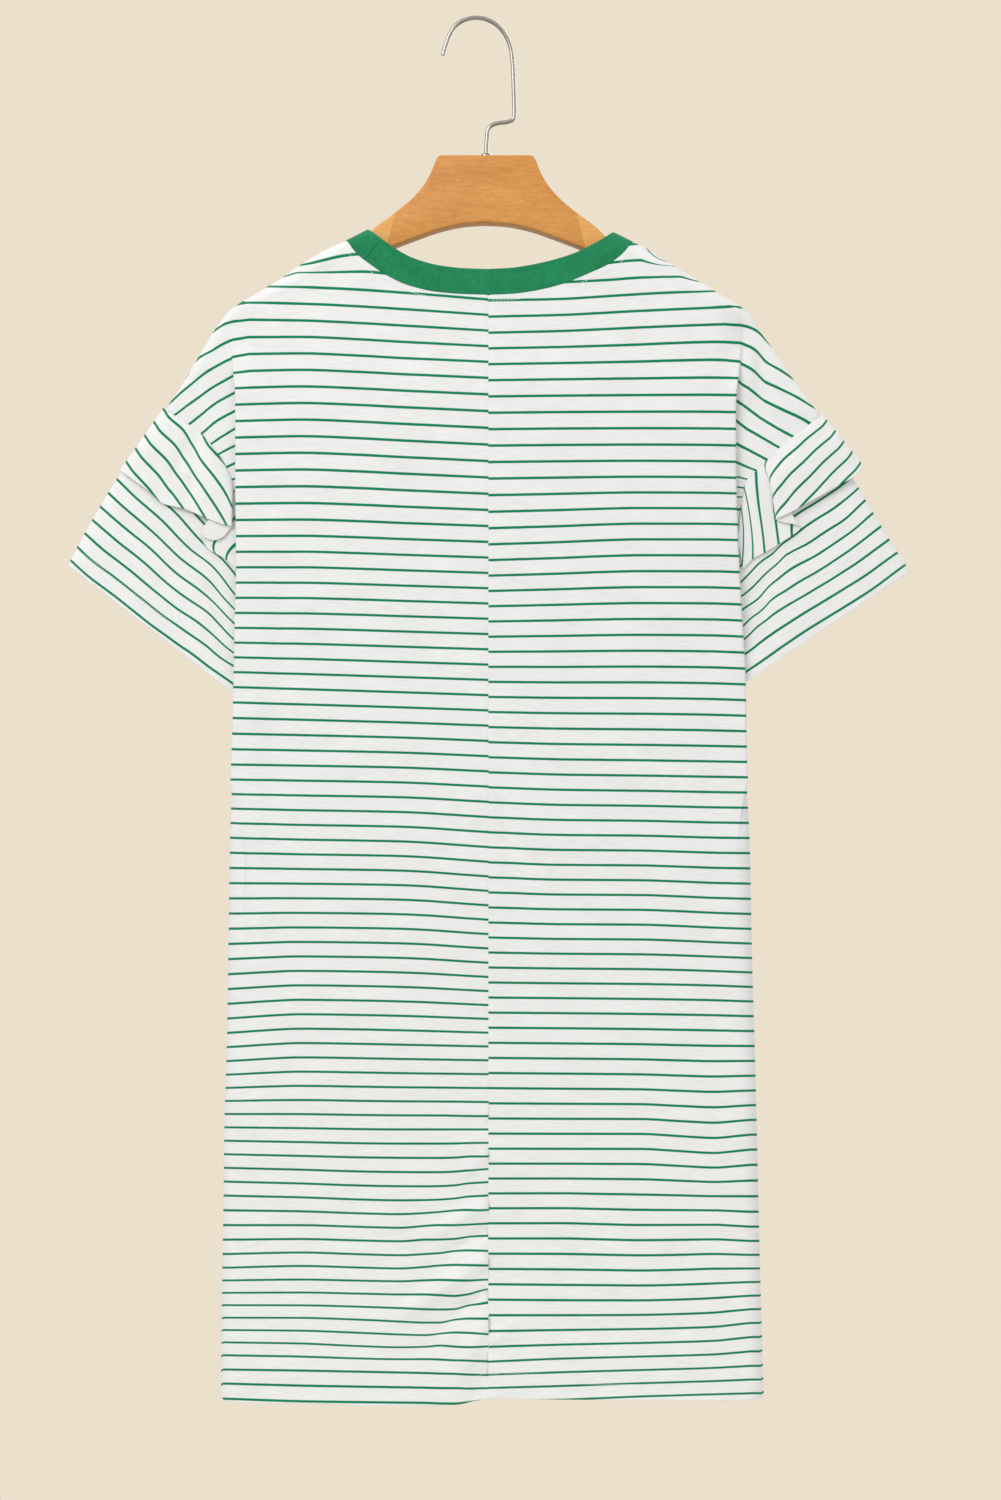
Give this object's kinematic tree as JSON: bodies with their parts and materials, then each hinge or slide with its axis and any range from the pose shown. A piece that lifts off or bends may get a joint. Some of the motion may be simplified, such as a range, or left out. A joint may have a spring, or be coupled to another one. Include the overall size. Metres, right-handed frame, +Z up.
{
  "type": "t-shirt dress on a hanger",
  "caption": "Boxy short-sleeved jersey T-shirt dress with rib neckband, centre-back seam and ruffled drop shoulders, hanging open and flat on a wooden hanger with a cranked steel hook.",
  "frame": {"origin": "underside of the hook's crown, where the rail or nail that holds the hanger touches it", "axes": "+Z up, X across the garment with the wearer's right at +X, and the back of the dress faces -Y"},
  "size_m": [0.6449, 0.0316, 1.0672],
  "materials": {
    "jersey": "off-white cotton jersey with thin green stripes",
    "green_rib": "matte green rib knit",
    "beech": "satin varnished beech",
    "steel": "polished steel wire"
  },
  "bodies": {
    "root": {"back_left": "jersey", "back_right": "jersey", "front": "jersey", "neckband": "green_rib", "sleeve_left": "jersey", "sleeve_right": "jersey", "ruffle_left": "jersey", "ruffle_right": "jersey", "hanger_wood": "beech", "hanger_hook": "steel", "ferrule": "steel"}
  },
  "joints": []
}
